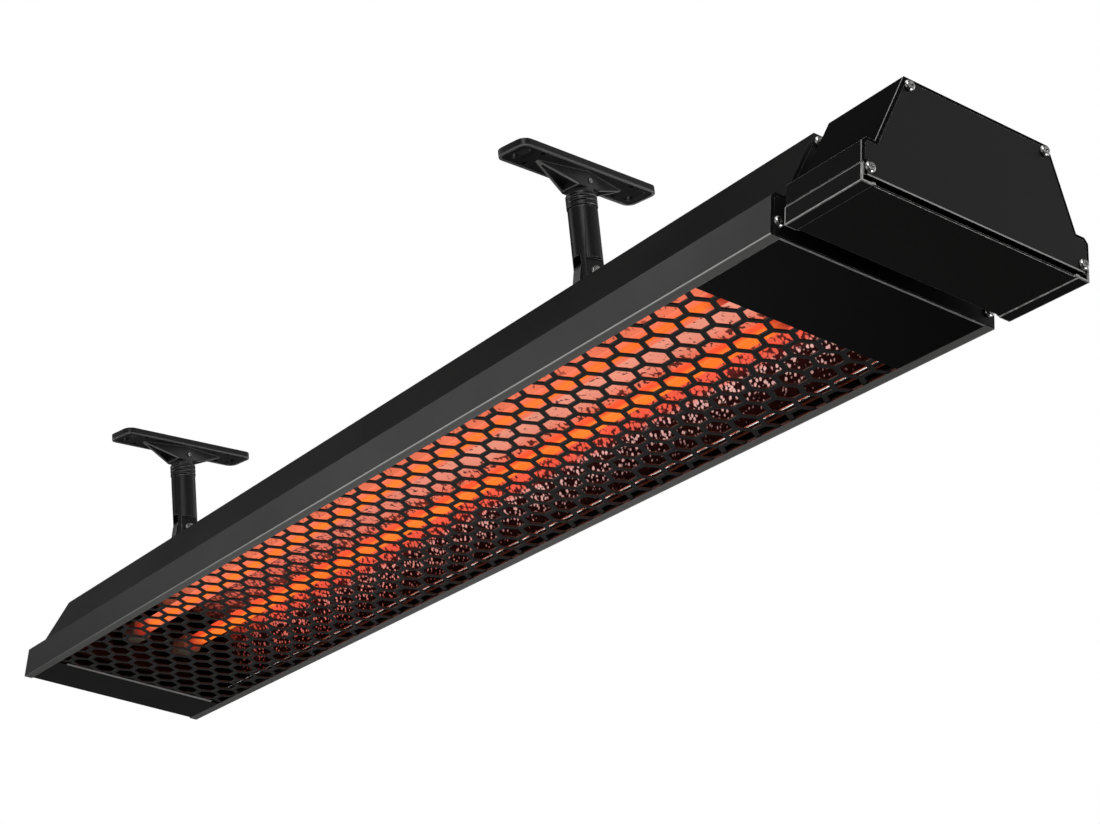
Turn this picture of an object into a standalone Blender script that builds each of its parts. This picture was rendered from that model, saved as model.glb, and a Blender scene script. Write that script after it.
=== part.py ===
"""Ceiling-hung radiant strip heater with two swivel-and-tilt brackets.

Units are metres and +Z is up. The world origin is the centre of the near ceiling plate's top face.
+X runs along the heater towards its terminal box and +Y runs across it.
The heater is drawn in its own datum frame and hung at its working tilt: in that frame x starts at
the far end, y is measured from the centre line and z starts at the bottom of the side rails.
"""

import math

import bmesh
import bpy
from mathutils import Matrix, Vector

# Heater section, in the heater's own frame
WIDTH = 0.170
HEIGHT = 0.078
TOP_WIDTH = 0.110
RAIL_HEIGHT = 0.028
RAIL_LEDGE = 0.0095
RAIL_CHAMFER = 0.003
LIP = 0.007
LIP_SHEET = 0.0007
SHEET = 0.002
PLATE = 0.0015
GAP = 0.0003

# Heater length
BODY_LENGTH = 1.032
NECK_GAP = 0.013
TERMINAL_LENGTH = 0.062
TERMINAL_START = BODY_LENGTH + NECK_GAP
TOTAL_LENGTH = TERMINAL_START + TERMINAL_LENGTH

# Terminal box and the duct that joins it to the main body
TERMINAL_FOOT = 0.0046
TRAY_FLANGE = 0.0117
TRAY_SHEET = 0.0015
TRAY_STRIP = 0.0085
TRAY_RAISE = 0.0006
TRAY_NOTCH = 0.0105
DUCT_HALF_WIDTH = 0.045
DUCT_HALF_HEIGHT = 0.018
DUCT_SHEET = 0.002
WIRE_HOLE_Z = 0.048
WIRE_HOLE_RADIUS = 0.009
BLOCK_HALF = 0.036
BLOCK_START = TERMINAL_START + 0.016
BLOCK_END = TERMINAL_START + 0.038
BLOCK_TOP = 0.020
WELLS = 5
WELL_PITCH = 0.0136
WELL_RADIUS = 0.0032
WELL_FLOOR = 0.012
GLAND_X = TERMINAL_START + 0.030
GLAND_BORE = 0.0045
GLAND_THREAD = 0.0080
GLAND_FLANGE = 0.0120
GLAND_CAP = 0.0105
LOCK_NUT_RADIUS = 0.0125

# Screw ports inside the shells' corners: top rib's (y, y, z) and low rib's (y, z, z)
TOP_PORT = (0.0470, 0.0568, 0.0692)
LOW_PORT = (0.0765, 0.0062, 0.0128)
PORT_DEPTH = 0.012
CLEAR = 0.01

# Underside: the grille on the lips, and the far strip and near panel let in flush between them
STRIP_START = 0.0035
STRIP_END = 0.060
STRIP_TAB = 0.002
STRIP_SHOULDER = 0.0077
PANEL_START = 0.956
COVER_HALF = WIDTH / 2 - LIP - GAP
GRILLE_Z = LIP_SHEET + GAP
GRILLE_SHEET = 0.001
GRILLE_START = 0.0055
GRILLE_END = 0.980
GRILLE_HALF = 0.0805
WINDOW_PITCH = 0.040
WINDOW_FLATS = 0.033
WINDOW_MARGIN = 0.010

# Lamps and reflector
LAMP_Y = 0.0243
LAMP_Z = 0.033
LAMP_RADIUS = 0.0058
LAMP_WALL = 0.001
LAMP_START = 0.100
LAMP_END = 0.925
CAP_LENGTH = 0.024
CAP_WIDTH = 0.016
CAP_HEIGHT = 0.014
FILAMENT_WIDTH = 0.0056
FILAMENT_SHEET = 0.0008
REFLECTOR_SHEET = 0.001
REFLECTOR_START = 0.070
REFLECTOR_END = 0.955
REFLECTOR_HALF = 0.075
TROUGH_OUTER = 0.0385
TROUGH_Z = 0.038
TROUGH_HEIGHT = 0.027
TROUGH_TURNS = (22, 46, 70, 90, 112, 136)
RIDGE_Z = 0.048
LAMP_WINDOW = (0.0095, 0.0245, 0.0415)
HOLDER_TOP = 0.060
HOLDER_FOOT = 0.012
HOLDER_SHEET = 0.0012
CAP_SEAT = 0.0040

# Brackets
TILT = math.radians(11.0)
PLATE_YAW = math.radians(12.0)
NEAR_X = 0.730
BRACKET_SPACING = 0.620
PIVOT_Z = 0.131
PIVOT_DROP = 0.081
CEILING_PLATE_LENGTH = 0.140
CEILING_PLATE_WIDTH = 0.029
CEILING_PLATE_CORNER = 0.007
CEILING_PLATE_RIM = 0.0052
CEILING_PLATE_WEB = 0.0046
RIM_WIDTH = 0.0022
GUSSET_END = 0.043
GUSSET_ROOT = 0.009
GUSSET_TAPER = 0.86
GUSSET_RIB = 0.0016
GUSSET_POCKET = 0.0055
SLOT_Y = 0.0595
SLOT_LENGTH = 0.018
SLOT_WIDTH = 0.0065
SMALL_HOLE = (0.009, 0.046)
SMALL_HOLE_RADIUS = 0.0021
HUB_SCREW_RADIUS = 0.0018
HUB_SCREW_Z = -0.0125
HUB_BORE_TOP = -0.0075
HUB_RADIUS = 0.0095
HUB_BOTTOM = -0.020
SPIGOT_RADIUS = 0.006
COLLAR_RADIUS = 0.0112
COLLAR_BOTTOM = -0.031
TUBE_RADIUS = 0.01075
TUBE_END = 0.010
FLAT = 0.0077
TONGUE = 0.0042
SLOT_ROOF = 0.0125
BOLT_RADIUS = 0.003
FOOT_LENGTH = 0.046
FOOT_WIDTH = 0.034
FOOT_SHEET = 0.004
FOOT_SCREW_X = 0.016
FOOT_HOLE_RADIUS = 0.0023
FOOT_CORNER = 0.006

# Screws
SCREW_SHANK = 0.0016
SCREW_HEAD = 0.0036
SCREW_HEIGHT = 0.0023
SCREW_LENGTH = 0.009
CORNER_TOP = (0.0515, 0.0728)
CORNER_LOW = (0.0797, 0.0094)

SEGMENTS = 24


# ---------------------------------------------------------------- scene and materials

def clear_scene():
    for obj in list(bpy.data.objects):
        bpy.data.objects.remove(obj, do_unlink=True)


def make_material(name, colour, roughness, metallic=0.0, glow=0.0):
    material = bpy.data.materials.new(name)
    material.use_nodes = True
    shader = material.node_tree.nodes["Principled BSDF"]
    shader.inputs["Base Color"].default_value = (*colour, 1.0)
    shader.inputs["Roughness"].default_value = roughness
    shader.inputs["Metallic"].default_value = metallic
    if glow:
        shader.inputs["Emission Color"].default_value = (*colour, 1.0)
        shader.inputs["Emission Strength"].default_value = glow
    material.diffuse_color = (*colour, 1.0)
    return material


def make_empty(name, location, tilt=0.0, yaw=0.0, parent=None):
    empty = bpy.data.objects.new(name, None)
    bpy.context.collection.objects.link(empty)
    empty.location = location
    empty.rotation_euler = (tilt, 0.0, yaw)
    empty.parent = parent
    return empty


def make_object(name, bm, parent, material, smooth=False):
    bmesh.ops.recalc_face_normals(bm, faces=bm.faces)
    mesh = bpy.data.meshes.new(name)
    bm.to_mesh(mesh)
    bm.free()
    mesh.materials.append(material)
    if smooth:
        mesh.shade_smooth()
        mesh.set_sharp_from_angle(angle=math.radians(35.0))
    obj = bpy.data.objects.new(name, mesh)
    bpy.context.collection.objects.link(obj)
    obj.parent = parent
    return obj


def combine(obj, tool_bm, operation):
    """Cuts or joins a hidden tool body with an EXACT Boolean."""
    bmesh.ops.recalc_face_normals(tool_bm, faces=tool_bm.faces)
    name = f"{obj.name}_{operation.lower()}_{len(obj.modifiers) + 1}"
    mesh = bpy.data.meshes.new(name)
    tool_bm.to_mesh(mesh)
    tool_bm.free()
    tool = bpy.data.objects.new(name, mesh)
    bpy.context.collection.objects.link(tool)
    tool.parent = obj.parent
    tool.matrix_parent_inverse = obj.matrix_parent_inverse
    tool.hide_render = True
    tool.display_type = "WIRE"
    modifier = obj.modifiers.new(name, "BOOLEAN")
    modifier.object = tool
    modifier.operation = operation
    modifier.solver = "EXACT"


# ---------------------------------------------------------------- shapes

def add_prism(bm, outline, start, end, axes="YZX"):
    """Adds an outline in the plane of the first two axes, extruded along the third."""
    order = ["XYZ".index(letter) for letter in axes]

    def place(a, b, c):
        point = [0.0, 0.0, 0.0]
        for index, value in zip(order, (a, b, c)):
            point[index] = value
        return point

    base = [bm.verts.new(place(a, b, start)) for a, b in outline]
    face = bm.faces.new(base)
    grown = bmesh.ops.extrude_face_region(bm, geom=[face])["geom"]
    moved = [item for item in grown if isinstance(item, bmesh.types.BMVert)]
    bmesh.ops.translate(bm, verts=moved, vec=Vector(place(0.0, 0.0, end - start)))


def prism(outline, start, end, axes="YZX"):
    bm = bmesh.new()
    add_prism(bm, outline, start, end, axes)
    return bm


def rectangle(a0, a1, b0, b1):
    return [(a0, b0), (a1, b0), (a1, b1), (a0, b1)]


def arc(centre, radius, start_degrees, end_degrees, steps):
    turn = [start_degrees + (end_degrees - start_degrees) * i / steps for i in range(steps + 1)]
    return [
        (centre[0] + radius * math.cos(math.radians(t)), centre[1] + radius * math.sin(math.radians(t)))
        for t in turn
    ]


def circle(centre, radius, segments):
    return arc(centre, radius, 0.0, 360.0, segments)[:-1]


def rounded_rectangle(half_a, half_b, corner, steps):
    points = []
    for a, b, start in ((1, 1, 0), (-1, 1, 90), (-1, -1, 180), (1, -1, 270)):
        points += arc((a * (half_a - corner), b * (half_b - corner)), corner, start, start + 90, steps)
    return points


def turned(profile, segments=SEGMENTS, closed=False, transform=None):
    """Spins a profile of (radius, height) points about Z; an open profile starts and ends on the axis."""
    bm = bmesh.new()
    verts = [bm.verts.new((radius, 0.0, height)) for radius, height in profile]
    edges = [bm.edges.new(pair) for pair in zip(verts, verts[1:])]
    if closed:
        edges.append(bm.edges.new((verts[-1], verts[0])))
    bmesh.ops.spin(
        bm, geom=verts + edges, cent=(0, 0, 0), axis=(0, 0, 1), angle=2 * math.pi, steps=segments,
        use_merge=True,
    )
    bmesh.ops.remove_doubles(bm, verts=bm.verts, dist=1e-6)
    if transform is not None:
        bmesh.ops.transform(bm, matrix=transform, verts=bm.verts)
    return bm


def cylinder_x(centre, radius, start, end, segments=12):
    """A round bar along X, with its centre given as (y, z)."""
    return prism(circle(centre, radius, segments), start, end)


def mirrored(half):
    """Completes an open line given for y > 0, from its last point across to the other side."""
    return half + [(-y, z) for y, z in reversed(half)]


def offset_line(points, distance):
    """Moves an open line sideways to its left by a distance, keeping its corners sharp."""
    moved = []
    for i, point in enumerate(points):
        here = Vector(point)
        ways = []
        if i > 0:
            ways.append((here - Vector(points[i - 1])).normalized())
        if i < len(points) - 1:
            ways.append((Vector(points[i + 1]) - here).normalized())
        normals = [Vector((-way.y, way.x)) for way in ways]
        bisector = sum(normals, Vector((0.0, 0.0))).normalized()
        moved.append(tuple(here + bisector * (distance / bisector.dot(normals[0]))))
    return moved


def folded(line, thickness):
    """The closed outline of a sheet folded along an open line, with its thickness to the left."""
    return line + list(reversed(offset_line(line, thickness)))


# ---------------------------------------------------------------- sections

def shell_line(foot):
    """The outside of the hat-shaped section, up from a foot of (y, z) points, over and down again."""
    half = WIDTH / 2
    return mirrored(foot + [
        (half, RAIL_HEIGHT - RAIL_CHAMFER),
        (half - RAIL_CHAMFER, RAIL_HEIGHT),
        (half - RAIL_LEDGE, RAIL_HEIGHT),
        (TOP_WIDTH / 2, HEIGHT),
    ])


def lipped_foot():
    """The main shell's rail, turned in under itself as a lip."""
    return [(WIDTH / 2 - LIP, 0.0), (WIDTH / 2, 0.0)]


def stepped_foot():
    """The terminal shell's rail, stepped in behind the tray cover's flange."""
    inner = WIDTH / 2 - TRAY_SHEET - GAP
    seam = TRAY_FLANGE + GAP
    return [(inner, TERMINAL_FOOT), (inner, seam), (WIDTH / 2, seam)]


def end_outline(foot, bottom):
    """A section filled in, set back inside its sheet, with a flat bottom edge."""
    inner = offset_line(shell_line(foot), SHEET + GAP)
    inner[0] = (inner[0][0], bottom)
    inner[-1] = (inner[-1][0], bottom)
    return inner


def thin_lips(outline):
    """Brings the upper face of the two lips down to the lips' own thickness."""
    return [(y, LIP_SHEET if 0.0 < z < SHEET + GAP else z) for y, z in outline]


def screw_corners():
    """(y, z) of the four screws that hold an end plate."""
    return [(side * y, z) for y, z in (CORNER_TOP, CORNER_LOW) for side in (-1, 1)]


def add_screw_ports(obj, start, end, wall):
    """Joins four ribs into the shell's corners, out to its low wall, and drills them for screws."""
    for side in (-1, 1):
        inner, outer, shelf = TOP_PORT
        top = [
            (side * inner, HEIGHT - SHEET / 2),
            (side * inner, shelf),
            (side * outer, shelf),
            (side * (TOP_WIDTH / 2 - GAP), HEIGHT - SHEET / 2),
        ]
        low = rectangle(side * LOW_PORT[0], side * (wall - SHEET / 2), *LOW_PORT[1:])
        combine(obj, prism(top, start, end), "UNION")
        combine(obj, prism(low, start, end), "UNION")
    for y, z in screw_corners():
        bores = bmesh.new()
        bore = circle((y, z), SCREW_SHANK + GAP, 8)
        add_prism(bores, bore, start - CLEAR, start + PORT_DEPTH)
        add_prism(bores, bore, end - PORT_DEPTH, end + CLEAR)
        combine(obj, bores, "DIFFERENCE")


# ---------------------------------------------------------------- fasteners

def screw_mesh(length=SCREW_LENGTH):
    """A button-head socket screw with its head's underside at z = 0 and its shank below."""
    return turned([
        (0.0, -length),
        (SCREW_SHANK, -length),
        (SCREW_SHANK, 0.0),
        (SCREW_HEAD, 0.0),
        (SCREW_HEAD * 0.86, SCREW_HEIGHT * 0.65),
        (SCREW_SHANK, SCREW_HEIGHT),
        (SCREW_SHANK * 0.8, SCREW_HEIGHT * 0.45),
        (0.0, SCREW_HEIGHT * 0.45),
    ], segments=10)


def make_screws(prefix, places, direction, parent, material, length=SCREW_LENGTH):
    """One object for each screw, with their shared shape pointing its head along a direction."""
    turn = Vector((0, 0, 1)).rotation_difference(Vector(direction)).to_euler()
    first = None
    for number, place in enumerate(places, 1):
        name = f"{prefix}_{number}"
        if first is None:
            obj = make_object(name, screw_mesh(length), parent, material, smooth=True)
            first = obj
        else:
            obj = bpy.data.objects.new(name, first.data)
            bpy.context.collection.objects.link(obj)
            obj.parent = parent
        obj.location = place
        obj.rotation_euler = turn


# ---------------------------------------------------------------- heater body

def make_main_housing(parent, material):
    outline = thin_lips(folded(shell_line(lipped_foot()), SHEET))
    shell = make_object("main_housing", prism(outline, 0.0, BODY_LENGTH), parent, material)
    inset = PLATE + GAP
    add_screw_ports(shell, inset, BODY_LENGTH - inset, WIDTH / 2)
    for x in (NEAR_X - BRACKET_SPACING, NEAR_X):
        for side in (-1, 1):
            hole = circle((x + side * FOOT_SCREW_X, 0.0), FOOT_HOLE_RADIUS, 8)
            combine(shell, prism(hole, HEIGHT - CLEAR, HEIGHT + CLEAR, "XYZ"), "DIFFERENCE")


def make_end_plate(name, face, outward, foot, bottom, parent, material, wire_hole=False):
    """A plate let into the shell's end, a hair proud of it, drilled for four screws."""
    outline = end_outline(foot, bottom)
    start, end = sorted((face, face - outward * PLATE))
    plate = make_object(name, prism(outline, start, end), parent, material)
    for y, z in screw_corners():
        hole = cylinder_x((y, z), SCREW_SHANK + GAP, start - CLEAR, end + CLEAR, 8)
        combine(plate, hole, "DIFFERENCE")
    if wire_hole:
        hole = cylinder_x((0.0, WIRE_HOLE_Z), WIRE_HOLE_RADIUS, start - CLEAR, end + CLEAR, 16)
        combine(plate, hole, "DIFFERENCE")


def make_underside(parent, black):
    """The blank strip and panel that close the underside between the lips at the two ends."""
    half = COVER_HALF
    tab = half - STRIP_SHOULDER
    edge = STRIP_END - STRIP_TAB
    strip = [
        (STRIP_START, -half), (edge, -half), (edge, -tab), (STRIP_END, -tab),
        (STRIP_END, tab), (edge, tab), (edge, half), (STRIP_START, half),
    ]
    make_object("far_bottom_strip", prism(strip, 0.0, LIP_SHEET, "XYZ"), parent, black)
    panel = rectangle(PANEL_START, BODY_LENGTH - GAP, -half, half)
    make_object("near_blanking_panel", prism(panel, 0.0, LIP_SHEET, "XYZ"), parent, black)


def make_grille(parent, material):
    """A sheet with a coarse honeycomb of windows, which the finished mesh is drawn over."""
    sheet = rectangle(GRILLE_START, GRILLE_END, -GRILLE_HALF, GRILLE_HALF)
    blank = prism(sheet, GRILLE_Z, GRILLE_Z + GRILLE_SHEET, "XYZ")
    grille = make_object("lamp_grille", blank, parent, material)
    windows = bmesh.new()
    step = WINDOW_PITCH * math.sqrt(3) / 2
    columns = int((PANEL_START - STRIP_END - WINDOW_MARGIN) / step)
    first = (STRIP_END + PANEL_START - (columns - 1) * step) / 2
    radius = WINDOW_FLATS / math.sqrt(3)
    for column in range(columns):
        count = 4 if column % 2 else 3
        for row in range(count):
            centre = (first + column * step, (row - (count - 1) / 2) * WINDOW_PITCH)
            add_prism(windows, circle(centre, radius, 6), GRILLE_Z - CLEAR, GRILLE_Z + CLEAR, "XYZ")
    combine(grille, windows, "DIFFERENCE")


def reflector_line():
    """The two-trough reflector: a wall, a trough over each lamp and the ridge between them."""
    half = [(REFLECTOR_HALF, 0.0150), (0.0715, 0.0280), (0.0665, 0.0390)]
    for turn in TROUGH_TURNS:
        reach = TROUGH_OUTER if turn < 90 else LAMP_Y
        across = LAMP_Y + reach * math.cos(math.radians(turn))
        half.append((across, TROUGH_Z + TROUGH_HEIGHT * math.sin(math.radians(turn))))
    return half + [(0.0, RIDGE_Z)] + [(-y, z) for y, z in reversed(half)]


def make_reflector(parent, bright):
    line = reflector_line()
    outline = folded(line, REFLECTOR_SHEET)
    make_object("reflector", prism(outline, REFLECTOR_START, REFLECTOR_END), parent, bright, smooth=True)
    closed = [(REFLECTOR_HALF, 0.0085)] + [(y, z + 0.0012) for y, z in line] + [(-REFLECTOR_HALF, 0.0085)]
    for name, start in (
        ("reflector_far_plate", REFLECTOR_START - GAP - REFLECTOR_SHEET),
        ("reflector_near_plate", REFLECTOR_END + GAP),
    ):
        end = start + REFLECTOR_SHEET
        plate = make_object(name, prism(closed, start, end), parent, bright)
        for side in (-1, 1):
            reach, low, high = LAMP_WINDOW
            window = rectangle(side * (LAMP_Y - reach), side * (LAMP_Y + reach), low, high)
            combine(plate, prism(window, start - CLEAR / 2, end + CLEAR / 2), "DIFFERENCE")


def make_lamps(parent, quartz, carbon, ceramic):
    for side, word in ((-1, "left"), (1, "right")):
        centre = Vector((side * LAMP_Y, LAMP_Z))
        tube = make_object(
            f"quartz_tube_{word}", cylinder_x(centre, LAMP_RADIUS, LAMP_START, LAMP_END, 20), parent, quartz,
            smooth=True,
        )
        bore = cylinder_x(centre, LAMP_RADIUS - LAMP_WALL, LAMP_START - CLEAR, LAMP_END + CLEAR, 20)
        combine(tube, bore, "DIFFERENCE")
        ribbon = rectangle(
            centre.x - FILAMENT_WIDTH / 2, centre.x + FILAMENT_WIDTH / 2,
            centre.y - FILAMENT_SHEET / 2, centre.y + FILAMENT_SHEET / 2,
        )
        make_object(
            f"carbon_filament_{word}", prism(ribbon, LAMP_START + CAP_SEAT, LAMP_END - CAP_SEAT), parent, carbon
        )
        for end_word, start in (
            ("far", LAMP_START + CAP_SEAT - CAP_LENGTH),
            ("near", LAMP_END - CAP_SEAT),
        ):
            block = rounded_rectangle(CAP_WIDTH / 2, CAP_HEIGHT / 2, 0.003, 2)
            block = [(centre.x + a, centre.y + b) for a, b in block]
            cap = make_object(
                f"ceramic_cap_{word}_{end_word}", prism(block, start, start + CAP_LENGTH), parent, ceramic
            )
            depth = CAP_SEAT + GAP
            inner = start + CAP_LENGTH - depth if end_word == "far" else start - CLEAR
            outer = start + CAP_LENGTH + CLEAR if end_word == "far" else start + depth
            seat = cylinder_x(centre, LAMP_RADIUS + GAP, inner, outer, 20)
            combine(cap, seat, "DIFFERENCE")


def make_lamp_holders(parent, steel):
    """Two bent saddles under which the ceramic caps hang, each fixed to the reflector's end plate."""
    half = LAMP_Y + CAP_WIDTH
    reach, window_low, window_high = LAMP_WINDOW
    low = REFLECTOR_SHEET + HOLDER_FOOT
    for name, outward, start in (
        ("lamp_holder_far", -1, REFLECTOR_START - 2 * GAP - REFLECTOR_SHEET),
        ("lamp_holder_near", 1, REFLECTOR_END + 2 * GAP + REFLECTOR_SHEET),
    ):
        foot = start + outward * HOLDER_FOOT
        upright = start + outward * HOLDER_SHEET
        under = HOLDER_TOP - HOLDER_SHEET
        line = [
            (start, low), (start, HOLDER_TOP), (foot, HOLDER_TOP),
            (foot, under), (upright, under), (upright, low),
        ]
        holder = make_object(name, prism(line, -half, half, "XZY"), parent, steel)
        for side in (-1, 1):
            y = side * LAMP_Y
            window = rectangle(y - reach, y + reach, window_low, window_high)
            first, last = sorted((start - outward * CLEAR / 2, upright + outward * CLEAR / 5))
            combine(holder, prism(window, first, last), "DIFFERENCE")


# ---------------------------------------------------------------- terminal box

def make_terminal_housing(parent, material):
    """The short shell over the terminals: its lower walls step in behind the tray's flanges."""
    outline = folded(shell_line(stepped_foot()), SHEET)
    shell = make_object("terminal_housing", prism(outline, TERMINAL_START, TOTAL_LENGTH), parent, material)
    inset = PLATE + GAP
    add_screw_ports(shell, TERMINAL_START + inset, TOTAL_LENGTH - inset, stepped_foot()[0][0])
    hole = circle((GLAND_X, 0.0), GLAND_THREAD + GAP, 16)
    combine(shell, prism(hole, HEIGHT - CLEAR / 2, HEIGHT + CLEAR, "XYZ"), "DIFFERENCE")


def make_tray_cover(parent, material):
    """The removable bottom tray: a raised middle panel between two edge strips and side flanges."""
    half = WIDTH / 2
    edge = half - TRAY_STRIP
    line = mirrored([(half, TRAY_FLANGE), (half, 0.0), (edge, 0.0), (edge - TRAY_RAISE / 2, TRAY_RAISE)])
    outline = folded(list(reversed(line)), TRAY_SHEET)
    start = TERMINAL_START - STRIP_TAB / 2
    tray = make_object("terminal_tray_cover", prism(outline, start, TOTAL_LENGTH), parent, material)
    cut = half - TRAY_NOTCH
    for low, high in ((start - CLEAR, TERMINAL_START), (TOTAL_LENGTH - TRAY_SHEET, TOTAL_LENGTH + CLEAR)):
        combine(tray, prism(rectangle(low, high, -cut, cut), -CLEAR, CLEAR, "XYZ"), "DIFFERENCE")


def make_neck(parent, material):
    """The open duct that joins the two boxes and carries the wires."""
    start = BODY_LENGTH + 2 * GAP
    end = TERMINAL_START - 2 * GAP

    def section(inset):
        sides = (DUCT_HALF_WIDTH - inset, DUCT_HALF_HEIGHT - inset)
        return [(y, z + WIRE_HOLE_Z) for y, z in rounded_rectangle(*sides, 2 * DUCT_SHEET - inset, 2)]

    neck = make_object("neck_duct", prism(section(0.0), start, end), parent, material)
    combine(neck, prism(section(DUCT_SHEET), start - CLEAR, end + CLEAR), "DIFFERENCE")


def make_terminals(parent, plastic, nylon):
    """The terminal block inside the box, and the gland that the supply enters by."""
    base = rectangle(BLOCK_START, BLOCK_END, -BLOCK_HALF, BLOCK_HALF)
    block = make_object("terminal_block", prism(base, TERMINAL_FOOT, BLOCK_TOP, "XYZ"), parent, plastic)
    wells = bmesh.new()
    for i in range(WELLS):
        y = (i - (WELLS - 1) / 2) * WELL_PITCH
        for x in (BLOCK_START + WELL_PITCH * 0.4, BLOCK_END - WELL_PITCH * 0.4):
            add_prism(wells, circle((x, y), WELL_RADIUS, 8), WELL_FLOOR, BLOCK_TOP + CLEAR, "XYZ")
    combine(block, wells, "DIFFERENCE")
    inside = HEIGHT - 0.010
    seat = HEIGHT + GAP
    profile = [
        (GLAND_BORE, inside), (GLAND_THREAD, inside), (GLAND_THREAD, seat), (GLAND_FLANGE, seat),
        (GLAND_FLANGE, seat + 0.006), (GLAND_CAP, seat + 0.007), (GLAND_CAP, seat + 0.015),
        (GLAND_THREAD, seat + 0.020), (GLAND_BORE, seat + 0.020),
    ]
    place = Matrix.Translation((GLAND_X, 0, 0))
    gland = turned(profile, segments=16, closed=True, transform=place)
    make_object("cable_gland", gland, parent, nylon, smooth=True)
    hexagon = circle((GLAND_X, 0.0), LOCK_NUT_RADIUS, 6)
    nut = make_object(
        "gland_lock_nut", prism(hexagon, HEIGHT - SHEET - 0.0055, HEIGHT - SHEET - GAP, "XYZ"), parent, nylon
    )
    bore = circle((GLAND_X, 0.0), GLAND_THREAD + GAP, 16)
    combine(nut, prism(bore, HEIGHT - 2 * CLEAR, HEIGHT + CLEAR, "XYZ"), "DIFFERENCE")


# ---------------------------------------------------------------- brackets

def tapered(profile, rib):
    """A wedge across the plate, narrowing from the hub to its tip and set in by a rib's width."""
    bm = prism(profile, -1.0, 1.0, "YZX")
    for vert in bm.verts:
        along = max(0.0, abs(vert.co.y) - GUSSET_ROOT) / (GUSSET_END - GUSSET_ROOT)
        vert.co.x *= (HUB_RADIUS - GAP) * (1.0 - GUSSET_TAPER * along) - rib
    return bm


def gusset_wedge(side):
    """The web that braces the hub along the plate."""
    ridge = HUB_BOTTOM + RIM_WIDTH
    return tapered([
        (0.0, -SHEET), (0.0, ridge), (side * GUSSET_ROOT, ridge),
        (side * GUSSET_END, -CEILING_PLATE_WEB - SHEET / 2), (side * GUSSET_END, -SHEET),
    ], 0.0)


def gusset_pocket(side):
    """The hollow cast into a gusset's sloping face, between its two ribs."""
    start, end = GUSSET_ROOT + SHEET, GUSSET_END - 3 * GUSSET_RIB
    roof = -CEILING_PLATE_WEB - PLATE / 2
    return tapered([
        (side * start, 2 * HUB_BOTTOM), (side * start, HUB_BOTTOM + RIM_WIDTH + GUSSET_POCKET),
        (side * (end - SHEET), roof), (side * end, roof), (side * end, 2 * HUB_BOTTOM),
    ], GUSSET_RIB)


def make_ceiling_plate(word, parent, material):
    """The cast plate: a rimmed tray, two tapered gussets and the hub that the arm turns in."""
    half_x = CEILING_PLATE_WIDTH / 2
    half_y = CEILING_PLATE_LENGTH / 2
    outline = rounded_rectangle(half_x, half_y, CEILING_PLATE_CORNER, 4)
    blank = prism(outline, -CEILING_PLATE_RIM, 0.0, "XYZ")
    plate = make_object(f"{word}_ceiling_plate", blank, parent, material)
    pocket = rounded_rectangle(half_x - RIM_WIDTH, half_y - RIM_WIDTH, CEILING_PLATE_CORNER - RIM_WIDTH, 4)
    combine(plate, prism(pocket, -CEILING_PLATE_RIM - 0.01, -CEILING_PLATE_WEB, "XYZ"), "DIFFERENCE")
    for side in (-1, 1):
        combine(plate, gusset_wedge(side), "UNION")
        combine(plate, gusset_pocket(side), "DIFFERENCE")
    combine(plate, prism(circle((0, 0), HUB_RADIUS, SEGMENTS), HUB_BOTTOM, -SHEET, "XYZ"), "UNION")
    bore = circle((0, 0), SPIGOT_RADIUS + GAP, SEGMENTS)
    combine(plate, prism(bore, HUB_BOTTOM - CLEAR, HUB_BORE_TOP, "XYZ"), "DIFFERENCE")
    openings = bmesh.new()
    for side in (-1, 1):
        slot = rounded_rectangle(SLOT_LENGTH / 2, SLOT_WIDTH / 2, SLOT_WIDTH / 2 - 0.0001, 4)
        add_prism(openings, [(x, side * SLOT_Y + y) for x, y in slot], -2 * CLEAR, CLEAR, "XYZ")
        for x in (-SMALL_HOLE[0], SMALL_HOLE[0]):
            hole = circle((x, side * SMALL_HOLE[1]), SMALL_HOLE_RADIUS, 8)
            add_prism(openings, hole, -2 * CLEAR, CLEAR, "XYZ")
    combine(plate, openings, "DIFFERENCE")
    start = SPIGOT_RADIUS - SHEET
    screw_hole = cylinder_x((0.0, HUB_SCREW_Z), HUB_SCREW_RADIUS + GAP, start, 2 * HUB_RADIUS, 10)
    combine(plate, screw_hole, "DIFFERENCE")


def make_hub_screw(word, parent, steel):
    """The grub screw that locks the swivel, lying in the hub's side."""
    start = SPIGOT_RADIUS + 2 * GAP
    radius = HUB_SCREW_RADIUS
    profile = [
        (0.0, 0.0), (radius, 0.0), (radius, 0.0040), (radius / 2, 0.0040), (radius / 2, 0.0025), (0.0, 0.0025)
    ]
    turn = Matrix.Translation((start, 0, HUB_SCREW_Z)) @ Matrix.Rotation(math.pi / 2, 4, "Y")
    make_object(f"{word}_hub_screw", turned(profile, 10, transform=turn), parent, steel, smooth=True)


def make_collar(word, parent, material):
    """The ringed lock collar between the hub and the tube."""
    top = HUB_BOTTOM - GAP
    height = top - COLLAR_BOTTOM
    inner = SPIGOT_RADIUS + GAP
    groove = COLLAR_RADIUS - 0.0011
    profile = [(inner, COLLAR_BOTTOM), (COLLAR_RADIUS - 0.0006, COLLAR_BOTTOM)]
    for ring in range(3):
        low = COLLAR_BOTTOM + height * ring / 3
        profile.append((COLLAR_RADIUS, low + 0.0005))
        profile.append((COLLAR_RADIUS, low + height / 3 - 0.0010))
        if ring < 2:
            profile.append((groove, low + height / 3 - 0.0005))
    profile += [(COLLAR_RADIUS - 0.0006, top), (inner, top)]
    make_object(f"{word}_swivel_collar", turned(profile, closed=True), parent, material, smooth=True)


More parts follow.
